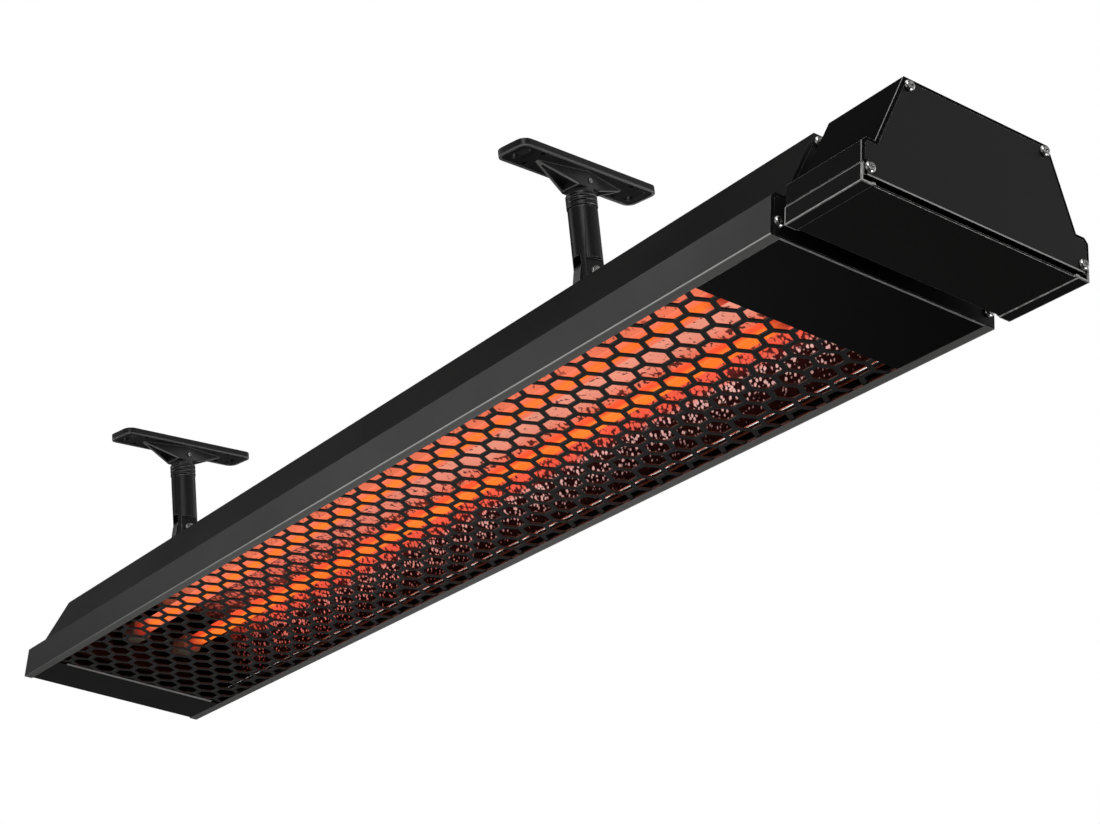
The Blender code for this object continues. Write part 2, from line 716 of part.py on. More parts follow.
def make_arm(word, parent, material):
    """The round arm: a spigot above, and below it a fork milled out of the same bar."""
    tube_top = COLLAR_BOTTOM - GAP
    pivot = -PIVOT_DROP
    bottom = pivot - TUBE_RADIUS
    profile = [
        (0.0, bottom - 0.001), (TUBE_RADIUS, bottom - 0.001), (TUBE_RADIUS, tube_top - 0.0006),
        (TUBE_RADIUS - 0.0006, tube_top), (SPIGOT_RADIUS, tube_top),
        (SPIGOT_RADIUS, HUB_BORE_TOP - 0.0015), (0.0, HUB_BORE_TOP - 0.0015),
    ]
    arm = make_object(f"{word}_arm_tube", turned(profile), parent, material, smooth=True)
    big = 3 * CLEAR
    low = bottom - CLEAR
    for side in (-1, 1):
        flat = rectangle(side * FLAT, side * big, low, pivot + TUBE_END)
        combine(arm, prism(flat, -big, big, "XZY"), "DIFFERENCE")
    slot = rectangle(-TONGUE - GAP, TONGUE + GAP, low, pivot + SLOT_ROOF)
    combine(arm, prism(slot, -big, big, "XZY"), "DIFFERENCE")
    ring = arc((0.0, pivot), TUBE_RADIUS, 180.0, 360.0, 12)
    below = [(-big, pivot)] + ring + [(big, pivot), (big, low), (-big, low)]
    combine(arm, prism(below, -big, big), "DIFFERENCE")
    combine(arm, cylinder_x((0.0, pivot), BOLT_RADIUS + GAP, -big, big, 12), "DIFFERENCE")


def make_pivot_bolt(word, parent, steel):
    pivot = -PIVOT_DROP
    head = FLAT + GAP
    profile = [
        (0.0, -FLAT - 0.0052), (BOLT_RADIUS, -FLAT - 0.0052), (BOLT_RADIUS, head), (0.0045, head),
        (0.0040, head + 0.0018), (0.0018, head + 0.0024), (0.0018, head + 0.0010), (0.0, head + 0.0010),
    ]
    turn = Matrix.Translation((0, 0, pivot)) @ Matrix.Rotation(math.pi / 2, 4, "Y")
    make_object(f"{word}_pivot_bolt", turned(profile, 12, transform=turn), parent, steel, smooth=True)
    nut = make_object(
        f"{word}_pivot_nut",
        prism(circle((0.0, pivot), 0.0052, 6), -FLAT - 0.0038, -FLAT - GAP), parent, steel,
    )
    combine(nut, cylinder_x((0.0, pivot), BOLT_RADIUS + GAP, -3 * CLEAR, 0.0, 12), "DIFFERENCE")


def make_knuckle_foot(word, centre_x, parent, material):
    """The heater's half of the knuckle: a tongue on a round post with a flange on the housing's top."""
    top = HEIGHT + GAP
    flange = [
        (centre_x + x, y) for x, y in rounded_rectangle(FOOT_LENGTH / 2, FOOT_WIDTH / 2, FOOT_CORNER, 3)
    ]
    foot = make_object(f"{word}_knuckle_foot", prism(flange, top, top + FOOT_SHEET, "XYZ"), parent, material)
    post_top = PIVOT_Z - SLOT_ROOF
    post = prism(circle((centre_x, 0.0), TUBE_RADIUS, SEGMENTS), top + FOOT_SHEET / 2, post_top, "XYZ")
    combine(foot, post, "UNION")
    root = post_top - FOOT_SHEET
    tongue = [(-TUBE_RADIUS, root), (TUBE_RADIUS, root)] + arc((0.0, PIVOT_Z), TUBE_RADIUS, 0.0, 180.0, 12)
    combine(foot, prism(tongue, centre_x - TONGUE, centre_x + TONGUE), "UNION")
    bore = cylinder_x((0.0, PIVOT_Z), BOLT_RADIUS + GAP, centre_x - CLEAR, centre_x + CLEAR, 12)
    combine(foot, bore, "DIFFERENCE")
    for side in (-1, 1):
        hole = circle((centre_x + side * FOOT_SCREW_X, 0.0), FOOT_HOLE_RADIUS, 8)
        combine(foot, prism(hole, top - CLEAR, top + 2 * CLEAR, "XYZ"), "DIFFERENCE")


def make_bracket(word, plate_axis, arm_axis, heater, centre_x, cast, steel):
    make_ceiling_plate(word, plate_axis, cast)
    make_hub_screw(word, plate_axis, steel)
    make_collar(word, arm_axis, cast)
    make_arm(word, arm_axis, cast)
    make_pivot_bolt(word, arm_axis, steel)
    make_knuckle_foot(word, centre_x, heater, cast)
    height = HEIGHT + FOOT_SHEET + 2 * GAP
    places = [(centre_x + side * FOOT_SCREW_X, 0.0, height) for side in (-1, 1)]
    make_screws(f"{word}_foot_screw", places, (0, 0, 1), heater, steel, length=0.010)


# ---------------------------------------------------------------- assembly

def main():
    clear_scene()
    powder = make_material("powder_black", (0.018, 0.018, 0.018), 0.42)
    cast = make_material("cast_black", (0.014, 0.014, 0.015), 0.45)
    bright = make_material("reflector_aluminium", (0.86, 0.86, 0.85), 0.22, metallic=1.0)
    steel = make_material("bright_steel", (0.70, 0.70, 0.70), 0.28, metallic=1.0)
    quartz = make_material("quartz", (0.95, 0.55, 0.35), 0.05)
    carbon = make_material("carbon", (1.0, 0.30, 0.06), 0.6, glow=6.0)
    ceramic = make_material("ceramic", (0.72, 0.64, 0.50), 0.55)
    plastic = make_material("terminal_plastic", (0.75, 0.74, 0.70), 0.5)
    gland = make_material("gland_plastic", (0.03, 0.03, 0.03), 0.5)

    near_plate_axis = make_empty("near_plate_axis", (0, 0, 0), yaw=PLATE_YAW)
    near_arm_axis = make_empty("near_arm_axis", (0, 0, 0))
    tilt_axis = make_empty("heater_tilt_axis", (0, 0, -PIVOT_DROP), tilt=-TILT)
    heater = make_empty("heater_datum", (-NEAR_X, 0, -PIVOT_Z), parent=tilt_axis)
    far_arm_axis = make_empty("far_arm_axis", (-BRACKET_SPACING, 0, 0))
    far_plate_axis = make_empty("far_plate_axis", (-BRACKET_SPACING, 0, 0), yaw=PLATE_YAW)

    make_bracket("near", near_plate_axis, near_arm_axis, heater, NEAR_X, cast, steel)
    make_bracket("far", far_plate_axis, far_arm_axis, heater, NEAR_X - BRACKET_SPACING, cast, steel)

    make_main_housing(heater, powder)
    main_foot = lipped_foot()[1:]
    make_end_plate("far_end_plate", -GAP, -1, main_foot, GRILLE_Z, heater, powder)
    make_end_plate("near_bulkhead", BODY_LENGTH + GAP, 1, main_foot, GRILLE_Z, heater, powder, wire_hole=True)
    make_underside(heater, powder)
    make_grille(heater, powder)
    make_reflector(heater, bright)
    make_lamps(heater, quartz, carbon, ceramic)
    make_lamp_holders(heater, steel)

    make_neck(heater, powder)
    make_terminal_housing(heater, powder)
    make_tray_cover(heater, powder)
    foot = stepped_foot()
    start = TERMINAL_START - GAP
    make_end_plate("terminal_inner_plate", start, -1, foot, TERMINAL_FOOT, heater, powder, wire_hole=True)
    make_end_plate("terminal_end_plate", TOTAL_LENGTH + GAP, 1, foot, TERMINAL_FOOT, heater, powder)
    make_terminals(heater, plastic, gland)

    corners = screw_corners()
    for prefix, face, outward in (
        ("far_end_screw", -2 * GAP, -1),
        ("bulkhead_screw", BODY_LENGTH + 2 * GAP, 1),
        ("end_plate_screw", TOTAL_LENGTH + 2 * GAP, 1),
    ):
        make_screws(prefix, [(face, y, z) for y, z in corners], (outward, 0, 0), heater, steel)


main()
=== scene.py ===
"""Looks of the ceiling-hung strip heater: its finishes, guard mesh, reflector, lamps, screws and studio."""
import math
import random

import bmesh
import bpy
import numpy as np
from mathutils import Matrix, Quaternion, Vector, kdtree


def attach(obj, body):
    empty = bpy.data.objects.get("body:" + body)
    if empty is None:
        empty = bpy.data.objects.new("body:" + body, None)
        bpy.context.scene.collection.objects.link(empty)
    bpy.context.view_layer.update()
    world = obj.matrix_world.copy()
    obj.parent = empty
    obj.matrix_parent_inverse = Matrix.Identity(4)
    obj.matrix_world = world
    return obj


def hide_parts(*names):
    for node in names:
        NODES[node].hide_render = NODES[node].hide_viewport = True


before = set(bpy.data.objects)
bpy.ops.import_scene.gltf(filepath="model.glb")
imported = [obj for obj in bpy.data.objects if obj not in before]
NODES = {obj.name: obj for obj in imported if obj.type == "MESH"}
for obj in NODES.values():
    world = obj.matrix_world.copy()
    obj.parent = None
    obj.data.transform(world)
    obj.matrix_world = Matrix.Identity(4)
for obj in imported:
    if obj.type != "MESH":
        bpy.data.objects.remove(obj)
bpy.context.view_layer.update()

# ---------------------------------------------------------------- dimensions, in metres

WIDTH = 0.170
HEIGHT = 0.078
BODY_LENGTH = 1.032
TOTAL_LENGTH = 1.107

# Brackets, and how the heater hangs in them
TILT = math.radians(11.0)
NEAR_X = 0.730
PIVOT_Z = 0.131
PIVOT_DROP = 0.081
BRACKET_SPACING = 0.620

# Ceiling plates: the turn, the heights of the rim and of the recess, and the gussets' ribs as (along, height)
PLATE_YAW = math.radians(12.0)
PLATE_RIM = 0.0052
PLATE_RECESS = (-0.0045, -0.0042)
RIB_ROOT = (0.009, -0.0178)
RIB_END = (0.043, -0.0056)
RIB_START = (0.0100, 0.0110)

# Screws: the end plates' four corners as (y, z), how far the plates stand out, and the feet
SCREW_CORNERS = [(-0.0515, 0.0728), (0.0515, 0.0728), (-0.0797, 0.0094), (0.0797, 0.0094)]
PLATE_STANDS_OUT = 0.0006
FOOT_TOP = 0.0046
FOOT_SCREW_REACH = 0.016

# Guard: hexagons in columns along the heater, the odd columns ending in half cells
STRIP_FRONT = 0.060
GUARD_Z = 0.0010
GUARD_SHEET = 0.001
GUARD_PITCH = 0.020
GUARD_HOLE = 0.016
GUARD_COLUMN = 0.8504
GUARD_FIRST, GUARD_LAST = -48, 6
GUARD_ROWS = 8
GUARD_EDGE_BAR = 0.0010
GUARD_BEVEL = 0.00018

# Reflector: its side wall and centre ridge as (y, z), and each trough's arc
REFLECTOR_START, REFLECTOR_END = 0.070, 0.955
REFLECTOR_HALF = 0.075
REFLECTOR_SHEET = 0.001
REFLECTOR_STEP = 0.0020
REFLECTOR_WALL = [(0.0775, 0.0080), (0.0755, 0.0118), (0.0750, 0.0150), (0.0715, 0.0280), (0.0665, 0.0390)]
RIDGE_Z = 0.048
TROUGH_Z, TROUGH_DEPTH = 0.038, 0.027
TROUGH_REACH_OUT = 0.0385
TROUGH_TURNS = (22, 46, 70, 90, 112, 136)
EASING_PASSES = 5
DIMPLE_PITCH = 0.0062
DIMPLE_REACH = 0.62
DIMPLE_RISE = 0.00040
DIMPLE_DRIFT = 0.28
BEAD_Y, BEAD_Z, BEAD_RADIUS, BEAD_SIDES = 0.0752, 0.0098, 0.0009, 12

# Lamps: the length between the caps, the soft ends of the lit length, and the direction across which
# the left lamp's glow pales towards its rims as a painted sheen, fixed for one direction of view
LAMP_Y = 0.0243
LAMP_Z = 0.033
LAMP_START = 0.104
LAMP_END = 0.921
LIT_FROM = (0.108, 0.132)
LIT_TO = (0.898, 0.918)
FRINGE_AXIS = (0.665, -0.747)
COIL_RADIUS, COIL_PITCH, COIL_WIDTH, COIL_THICKNESS = 0.0030, 0.0085, 0.0034, 0.0003
COIL_STEPS_PER_TURN = 14

# Studio
FLOOR_Z = -4.2
FLOOR_HALF = 40.0
FLOOR_CELLS = 32
CAMERA_LENS = 76.24
CAMERA_PLACE = (1.17206, -0.91976, -0.69372)
CAMERA_TURN = (0.53068, 0.70886477, 0.40170789, 0.2334957)

# The heater's own frame: x from its far end, y from its centre line, z from the bottom of its rails
HEATER = (
    Matrix.Translation((0, 0, -PIVOT_DROP))
    @ Matrix.Rotation(-TILT, 4, "X")
    @ Matrix.Translation((-NEAR_X, 0, -PIVOT_Z))
)


# ---------------------------------------------------------------- node helpers

class Tree:
    """Short calls for building one material's nodes."""

    def __init__(self, name):
        self.material = bpy.data.materials.new(name)
        self.material.use_nodes = True
        self.nodes = self.material.node_tree.nodes
        self.links = self.material.node_tree.links
        self.shader = self.nodes["Principled BSDF"]
        self.coordinates = self.nodes.new("ShaderNodeTexCoord").outputs["Object"]

    def set(self, **values):
        for key, value in values.items():
            self.shader.inputs[key.replace("_", " ")].default_value = value

    def link(self, source, target):
        self.links.new(source, target)

    def to_shader(self, source, name):
        self.link(source, self.shader.inputs[name])

    def scaled(self, scale):
        node = self.nodes.new("ShaderNodeMapping")
        node.inputs["Scale"].default_value = scale
        self.link(self.coordinates, node.inputs["Vector"])
        return node.outputs["Vector"]

    def noise(self, scale, detail=3.0, roughness=0.5, vector=None):
        node = self.nodes.new("ShaderNodeTexNoise")
        node.inputs["Scale"].default_value = scale
        node.inputs["Detail"].default_value = detail
        node.inputs["Roughness"].default_value = roughness
        self.link(vector or self.coordinates, node.inputs["Vector"])
        return node.outputs["Fac"]

    def voronoi(self, scale):
        node = self.nodes.new("ShaderNodeTexVoronoi")
        node.inputs["Scale"].default_value = scale
        self.link(self.coordinates, node.inputs["Vector"])
        return node.outputs["Distance"]

    def between(self, source, low, high, start=0.0, end=1.0):
        """low where the source is at start, high where it is at end, and even in between."""
        node = self.nodes.new("ShaderNodeMapRange")
        node.inputs["From Min"].default_value = start
        node.inputs["From Max"].default_value = end
        node.inputs["To Min"].default_value = low
        node.inputs["To Max"].default_value = high
        self.link(source, node.inputs["Value"])
        return node.outputs["Result"]

    def ramp(self, source, stops):
        """Colours at positions along the source."""
        node = self.nodes.new("ShaderNodeValToRGB")
        elements = node.color_ramp.elements
        elements[0].position = stops[0][0]
        elements[1].position = stops[-1][0]
        elements[0].color = (*stops[0][1], 1.0)
        elements[1].color = (*stops[-1][1], 1.0)
        for position, colour in stops[1:-1]:
            elements.new(position).color = (*colour, 1.0)
        self.link(source, node.inputs["Fac"])
        return node.outputs["Color"]

    def math(self, operation, first, second):
        node = self.nodes.new("ShaderNodeMath")
        node.operation = operation
        for socket, value in zip(node.inputs, (first, second)):
            if isinstance(value, (int, float)):
                socket.default_value = value
            else:
                self.link(value, socket)
        return node.outputs["Value"]

    def in_heater(self):
        """x, y and z in the heater's own frame."""
        place = self.nodes.new("ShaderNodeMapping")
        inverse = HEATER.inverted()
        place.inputs["Location"].default_value = inverse.to_translation()
        place.inputs["Rotation"].default_value = inverse.to_euler()
        self.link(self.coordinates, place.inputs["Vector"])
        split = self.nodes.new("ShaderNodeSeparateXYZ")
        self.link(place.outputs["Vector"], split.inputs["Vector"])
        return [split.outputs[axis] for axis in "XYZ"]

    def mix(self, share, first, second):
        node = self.nodes.new("ShaderNodeMix")
        node.data_type = "RGBA"
        self.link(share, node.inputs["Factor"])
        for socket, value in ((node.inputs["A"], first), (node.inputs["B"], second)):
            if isinstance(value, tuple):
                socket.default_value = (*value, 1.0)
            else:
                self.link(value, socket)
        return node.outputs["Result"]

    def bump(self, height, strength, distance):
        node = self.nodes.new("ShaderNodeBump")
        node.inputs["Strength"].default_value = strength
        node.inputs["Distance"].default_value = distance
        self.link(height, node.inputs["Height"])
        self.to_shader(node.outputs["Normal"], "Normal")


# ---------------------------------------------------------------- finishes

def powder_coat(name, dark, light, rough_low, rough_high, grain=0.10, lit_marks=(), gloss=0.5):
    """Satin black powder coat: a fine orange-peel grain over slow changes of gloss, with painted light and
    painted highlights laid on in places.
    """
    tree = Tree(name)
    slow = tree.noise(9.0, 4.0)
    fine = tree.noise(2600.0, 2.0, 0.6)
    paint = tree.ramp(slow, [(0.35, dark), (0.7, light)])
    # painted light and painted highlights, laid over the paint as paler colour
    for place in lit_marks:
        share, light_colour = place(tree)
        paint = tree.mix(share, paint, light_colour)
    tree.set(Specular_IOR_Level=gloss)
    tree.to_shader(paint, "Base Color")
    mixed = tree.math("ADD", tree.math("MULTIPLY", slow, 0.6), tree.math("MULTIPLY", fine, 0.4))
    tree.to_shader(tree.between(mixed, rough_low, rough_high, 0.3, 0.7), "Roughness")
    tree.bump(fine, grain, 0.0002)
    return tree.material


def painted_light_band(colour, *limits):
    """Where painted light lies: soft steps (axis, start, full) in the heater's frame, y to either side."""
    def place(tree):
        x, y, z = tree.in_heater()
        axes = {"x": x, "y": tree.math("ABSOLUTE", y, 0.0), "z": z}
        share = 1.0
        for axis, start, full in limits:
            share = tree.math("MULTIPLY", share, tree.between(axes[axis], 0.0, 1.0, start, full))
        return share, colour
    return place


def scuffed_and_highlit_edge(name, dark, light, roughness):
    """The same paint scuffed thin and shiny along a folded or sheared edge, and painted pale there as a
    painted highlight.
    """
    tree = Tree(name)
    scuff_and_sheen = tree.noise(240.0, 3.0)
    tree.to_shader(tree.ramp(scuff_and_sheen, [(0.40, dark), (0.62, light)]), "Base Color")
    tree.to_shader(tree.between(scuff_and_sheen, roughness + 0.08, roughness - 0.06, 0.3, 0.7), "Roughness")
    tree.set(Metallic=0.15)
    return tree.material


def cast_paint(name, dark, light, centre=None):
    """Satin paint over a die casting; on a ceiling plate, painted light and shade: its underside painted lit,
    its sides and slots above the recess painted dark as shade, and its rim and its gussets' ribs painted
    bright as painted highlights.
    """
    tree = Tree(name)
    pebble = tree.noise(900.0, 3.0)
    wave = tree.noise(60.0, 2.0)
    mixed = tree.math("ADD", tree.math("MULTIPLY", wave, 0.6), tree.math("MULTIPLY", pebble, 0.4))
    paint = tree.ramp(mixed, [(0.35, dark), (0.65, light)])
    if centre is not None:
        place = tree.nodes.new("ShaderNodeMapping")
        place.vector_type = "TEXTURE"
        place.inputs["Location"].default_value = (centre, 0.0, 0.0)
        place.inputs["Rotation"].default_value = (0.0, 0.0, PLATE_YAW)
        tree.link(tree.coordinates, place.inputs["Vector"])
        split = tree.nodes.new("ShaderNodeSeparateXYZ")
        tree.link(place.outputs["Vector"], split.inputs["Vector"])
        along = tree.math("ABSOLUTE", split.outputs["Y"], 0.0)
        height = split.outputs["Z"]
        rib_height = tree.between(along, RIB_ROOT[1], RIB_END[1], RIB_ROOT[0], RIB_END[0])
        off_rib = tree.math("ABSOLUTE", tree.math("SUBTRACT", height, rib_height), 0.0)
        off_rim = tree.math("ABSOLUTE", tree.math("ADD", height, PLATE_RIM), 0.0)
        on_rib = tree.between(off_rib, 1.0, 0.0, 0.0002, 0.0005)
        rib = tree.math("MULTIPLY", on_rib, tree.between(along, 0.0, 1.0, *RIB_START))
        rim = tree.between(off_rim, 1.0, 0.0, 0.0001, 0.0003)
        # Painted shade: near black above the recess, on the plate's sides and in its slots
        paint = tree.mix(tree.between(height, 0.0, 1.0, *PLATE_RECESS), paint, (0.010, 0.010, 0.010))
        # Painted highlight along the rim
        paint = tree.mix(rim, paint, (0.55, 0.55, 0.545))
        # Painted highlights along the gussets' ribs
        paint = tree.mix(rib, paint, (0.70, 0.70, 0.69))
    tree.to_shader(paint, "Base Color")
    tree.to_shader(tree.between(pebble, 0.28, 0.40, 0.3, 0.7), "Roughness")
    tree.bump(tree.math("ADD", pebble, wave), 0.12, 0.0004)
    return tree.material


def hammered_aluminium():
    """Bright sheet beaten into small round dimples. The lamps' light in their middles is a painted
    reflection, laid on as emission, and the sheet's own colour is kept near black as painted shade between
    them.

    The far part's painted glow is redder in the right-hand trough and along both side walls.
    """
    tree = Tree("finish_reflector")
    x, y, _ = tree.in_heater()
    side = tree.math("ABSOLUTE", y, 0.0)
    stain = tree.noise(28.0, 4.0)
    fine = tree.noise(620.0, 2.0)
    dimple = tree.voronoi(DIMPLES)
    # painted shade: the sheet's own colour kept near black, standing in for the dark it reflects
    metal = tree.ramp(stain, [(0.3, (0.010, 0.009, 0.009)), (0.75, (0.020, 0.019, 0.018))])
    tree.to_shader(metal, "Base Color")
    tree.to_shader(tree.between(stain, 0.26, 0.40, 0.3, 0.7), "Roughness")
    tree.bump(tree.math("ADD", dimple, tree.math("MULTIPLY", fine, 0.05)), 0.35, 0.0009)
    # painted reflection of the lamps, laid on as emission across the troughs and walls
    across = tree.between(side, 0.0, 1.0, 0.0, REFLECTOR_HALF)
    spread = tree.ramp(across, GLOW_SPREAD)
    depth = tree.math("ADD", dimple, tree.math("MULTIPLY", tree.math("SUBTRACT", fine, 0.5), 0.55))
    trough = tree.math(
        "MULTIPLY", tree.between(y, 0.0, 1.0, 0.010, 0.016), tree.between(y, 1.0, 0.0, 0.042, 0.048),
    )
    middle = tree.math("MULTIPLY", trough, tree.between(x, 1.0, 0.0, 0.22, 0.56))
    edge = tree.math("SUBTRACT", tree.math("SUBTRACT", spread, depth), tree.math("MULTIPLY", middle, 0.30))
    share = tree.between(edge, 0.0, 1.0, -0.05, 0.12)
    along = tree.math(
        "MULTIPLY", tree.between(x, 0.0, 1.0, 0.095, 0.180), tree.between(x, 1.0, 0.7, 0.900, 0.955),
    )
    outer = tree.math(
        "MULTIPLY", tree.between(side, 0.0, 1.0, 0.058, 0.064), tree.between(x, 1.0, 0.0, 0.20, 0.62),
    )
    redder = tree.math("MULTIPLY", tree.math("MAXIMUM", middle, outer), 0.75)
    bright = tree.mix(redder, tree.ramp(across, GLOW_BRIGHT), (0.74, 0.085, 0.050))
    colour = tree.mix(share, tree.ramp(across, GLOW_DARK), bright)
    tree.to_shader(colour, "Emission Color")
    strength = tree.math("MULTIPLY", along, tree.between(stain, 0.92, 1.12, 0.3, 0.7))
    tree.to_shader(strength, "Emission Strength")
    tree.set(Metallic=1.0, Specular_Tint=(0.16, 0.13, 0.12, 1.0))
    return tree.material


def bright_steel():
    """Stainless fasteners with turning marks and a little staining."""
    tree = Tree("finish_bright_steel")
    marks = tree.noise(1500.0, 2.0)
    stain = tree.noise(180.0, 3.0)
    tree.to_shader(tree.ramp(stain, [(0.3, (0.52, 0.52, 0.51)), (0.7, (0.80, 0.80, 0.79))]), "Base Color")
    tree.to_shader(tree.between(marks, 0.14, 0.32, 0.3, 0.7), "Roughness")
    tree.bump(marks, 0.10, 0.0001)
    tree.set(Metallic=1.0)
    return tree.material


def lit_range(tree, x):
    """1 along the lit length of a lamp, and 0 at its two cold ends."""
    start = tree.between(x, 0.0, 1.0, *LIT_FROM)
    end = tree.between(x, 1.0, 0.0, *LIT_TO)
    return tree.math("MULTIPLY", start, end)


def quartz():
    """Fused quartz filled with the element's glow: orange below, and red through its coated upper half."""
    tree = Tree("finish_quartz")
    x, y, z = tree.in_heater()
    streak = tree.noise(30.0, 3.0, vector=tree.scaled((0.25, 1.0, 1.0)))
    lit = lit_range(tree, x)
    height = tree.math("ADD", z, tree.math("MULTIPLY", streak, 0.0008))
    upper = tree.between(height, 0.0, 1.0, LAMP_Z - 0.0030, LAMP_Z - 0.0012)
    left = tree.between(y, 1.0, 0.0, -0.001, 0.001)
    # painted sheen: the left lamp's glow pales towards its rims as seen from one direction
    sideways = tree.math("MULTIPLY", tree.math("ADD", y, LAMP_Y), FRINGE_AXIS[0])
    upright = tree.math("MULTIPLY", tree.math("SUBTRACT", z, LAMP_Z), FRINGE_AXIS[1])
    off_axis = tree.math("ABSOLUTE", tree.math("ADD", sideways, upright), 0.0)
    fringe = tree.math("MULTIPLY", left, tree.between(off_axis, 0.0, 1.0, 0.0018, 0.0044))
    below = tree.ramp(streak, [(0.3, (0.96, 0.150, 0.008)), (0.7, (1.0, 0.215, 0.010))])
    tree.to_shader(tree.ramp(streak, [(0.3, (0.30, 0.20, 0.15)), (0.7, (0.40, 0.31, 0.25))]), "Base Color")
    tree.to_shader(tree.between(streak, 0.22, 0.34, 0.3, 0.7), "Roughness")
    coated = tree.mix(left, (0.84, 0.062, 0.016), (0.90, 0.170, 0.050))
    hot = tree.mix(fringe, tree.mix(upper, below, coated), (0.82, 0.165, 0.090))
    tree.to_shader(tree.mix(lit, (0.90, 0.040, 0.016), hot), "Emission Color")
    tree.to_shader(tree.between(lit, 0.30, 1.0), "Emission Strength")
    tree.set(Alpha=0.92, IOR=1.46, Specular_IOR_Level=0.12)
    return tree.material


def carbon():
    """The woven carbon ribbon, glowing along its lit length."""
    tree = Tree("finish_carbon")
    x = tree.in_heater()[0]
    weave = tree.noise(500.0, 2.0)
    lit = lit_range(tree, x)
    tree.to_shader(tree.ramp(weave, [(0.3, (0.02, 0.015, 0.012)), (0.7, (0.06, 0.04, 0.03))]), "Base Color")
    tree.to_shader(tree.ramp(weave, [(0.3, (1.0, 0.14, 0.008)), (0.7, (1.0, 0.24, 0.02))]), "Emission Color")
    tree.to_shader(tree.between(lit, 0.0, 2.0), "Emission Strength")
    tree.set(Roughness=0.7)
    return tree.material


def ceramic():
    """Unglazed steatite, speckled and a little scorched towards the lamp."""
    tree = Tree("finish_ceramic")
    speck = tree.noise(420.0, 4.0)
    scorch = tree.noise(40.0, 2.0)
    tree.to_shader(tree.ramp(scorch, [(0.3, (0.42, 0.34, 0.24)), (0.7, (0.66, 0.58, 0.45))]), "Base Color")
    tree.to_shader(tree.between(speck, 0.48, 0.72, 0.3, 0.7), "Roughness")
    tree.bump(speck, 0.2, 0.0003)
    return tree.material


def moulded(name, dark, light):
    """Moulded plastic with a light spark-eroded texture."""
    tree = Tree(name)
    texture = tree.noise(1100.0, 3.0)
    flow = tree.noise(50.0, 2.0)
    tree.to_shader(tree.ramp(flow, [(0.3, dark), (0.7, light)]), "Base Color")
    tree.to_shader(tree.between(texture, 0.42, 0.60, 0.3, 0.7), "Roughness")
    tree.bump(texture, 0.12, 0.0002)
    return tree.material


# Dimples to a metre of reflector. The painted reflection of the lamps that it holds, laid on as glow, against
# the distance from its centre line as a share of
# its half width: how far it spreads out of each dimple, its colour in the dimples and its colour between them
DIMPLES = 290.0
GLOW_SPREAD = [(s, (v, v, v)) for s, v in (
    (0.0, 0.95), (0.22, 0.70), (0.34, 0.92), (0.50, 0.84), (0.58, 0.62), (0.66, 0.72), (0.78, 0.70),
    (0.83, 0.54), (0.88, 0.43), (0.95, 0.38), (1.0, 0.20),
)]
GLOW_BRIGHT = [
    (0.0, (0.84, 0.20, 0.10)), (0.18, (0.82, 0.17, 0.09)), (0.26, (0.84, 0.31, 0.22)),
    (0.48, (0.82, 0.27, 0.19)), (0.62, (0.86, 0.15, 0.08)), (0.79, (0.95, 0.095, 0.045)),
    (0.84, (0.78, 0.11, 0.07)), (0.88, (0.80, 0.44, 0.40)), (0.95, (0.62, 0.34, 0.32)),
    (1.0, (0.10, 0.04, 0.038)),
]
GLOW_DARK = [
    (0.0, (0.60, 0.11, 0.06)), (0.24, (0.14, 0.035, 0.028)), (0.50, (0.12, 0.028, 0.022)),
    (0.70, (0.12, 0.010, 0.006)), (0.82, (0.075, 0.006, 0.005)), (0.88, (0.014, 0.003, 0.003)),
    (1.0, (0.003, 0.001, 0.001)),
]

# Painted light and painted highlights, laid on as paler paint: the rails' undersides painted lit, and
# highlight lines along the fold below each rail, the strip's and the panel's inner edges (the strip's an
# unpainted cut edge as well), the ends of the terminal box and the edges of its tray, whose underside is
# painted lit too
RAIL_SIDE = ("y", WIDTH / 2 - 0.0008, WIDTH / 2 - 0.0005)
# Painted light: the lips' undersides painted pale grey, as if lit
LIPS = painted_light_band((0.42, 0.42, 0.41), ("z", 0.0003, 0.0001))
# Painted highlight: a pale line along the fold below each rail, over the far half of its length
FOLD = painted_light_band((0.80, 0.80, 0.79), ("z", 0.0010, 0.0007), RAIL_SIDE, ("x", 0.05, 0.55))
# The strip's unpainted cut edge, painted near white as a painted highlight as well
STRIP_EDGE = painted_light_band(
    (0.95, 0.95, 0.94), ("x", STRIP_FRONT - 0.0030, STRIP_FRONT - 0.0024), ("y", 0.0706, 0.0700),
)
# Painted highlight: a pale line along the blanking panel's inner edge
PANEL_EDGE = painted_light_band((0.80, 0.80, 0.79), ("x", BODY_LENGTH - 0.0016, BODY_LENGTH - 0.0012))
# Painted highlight: pale lines along the terminal box's end
BOX_CORNER = painted_light_band(
    (0.60, 0.60, 0.59),
    ("x", TOTAL_LENGTH - 0.0009, TOTAL_LENGTH - 0.0006), ("x", TOTAL_LENGTH - 0.0001, TOTAL_LENGTH - 0.0002),
)
# Painted light: the tray's underside painted lighter than its sides
TRAY_UNDER = painted_light_band((0.040, 0.040, 0.039), ("z", 0.0012, 0.0009))
# Painted highlights: pale lines at the tray's end, along its sides above the seam and at its start
TRAY_CORNER = painted_light_band((0.80, 0.80, 0.79), ("x", TOTAL_LENGTH - 0.0009, TOTAL_LENGTH - 0.0006))
TRAY_SEAM = painted_light_band((0.40, 0.40, 0.39), ("z", 0.0107, 0.0111), RAIL_SIDE)
TRAY_START = painted_light_band((0.80, 0.80, 0.79), ("x", BODY_LENGTH + 0.0130, BODY_LENGTH + 0.0127))
# Painted highlight: a pale line along the end plate's foot, on its outer face
PLATE_FOOT = painted_light_band((0.75, 0.75, 0.74), ("z", 0.0057, 0.0053), ("x", TOTAL_LENGTH, TOTAL_LENGTH + 0.0002))

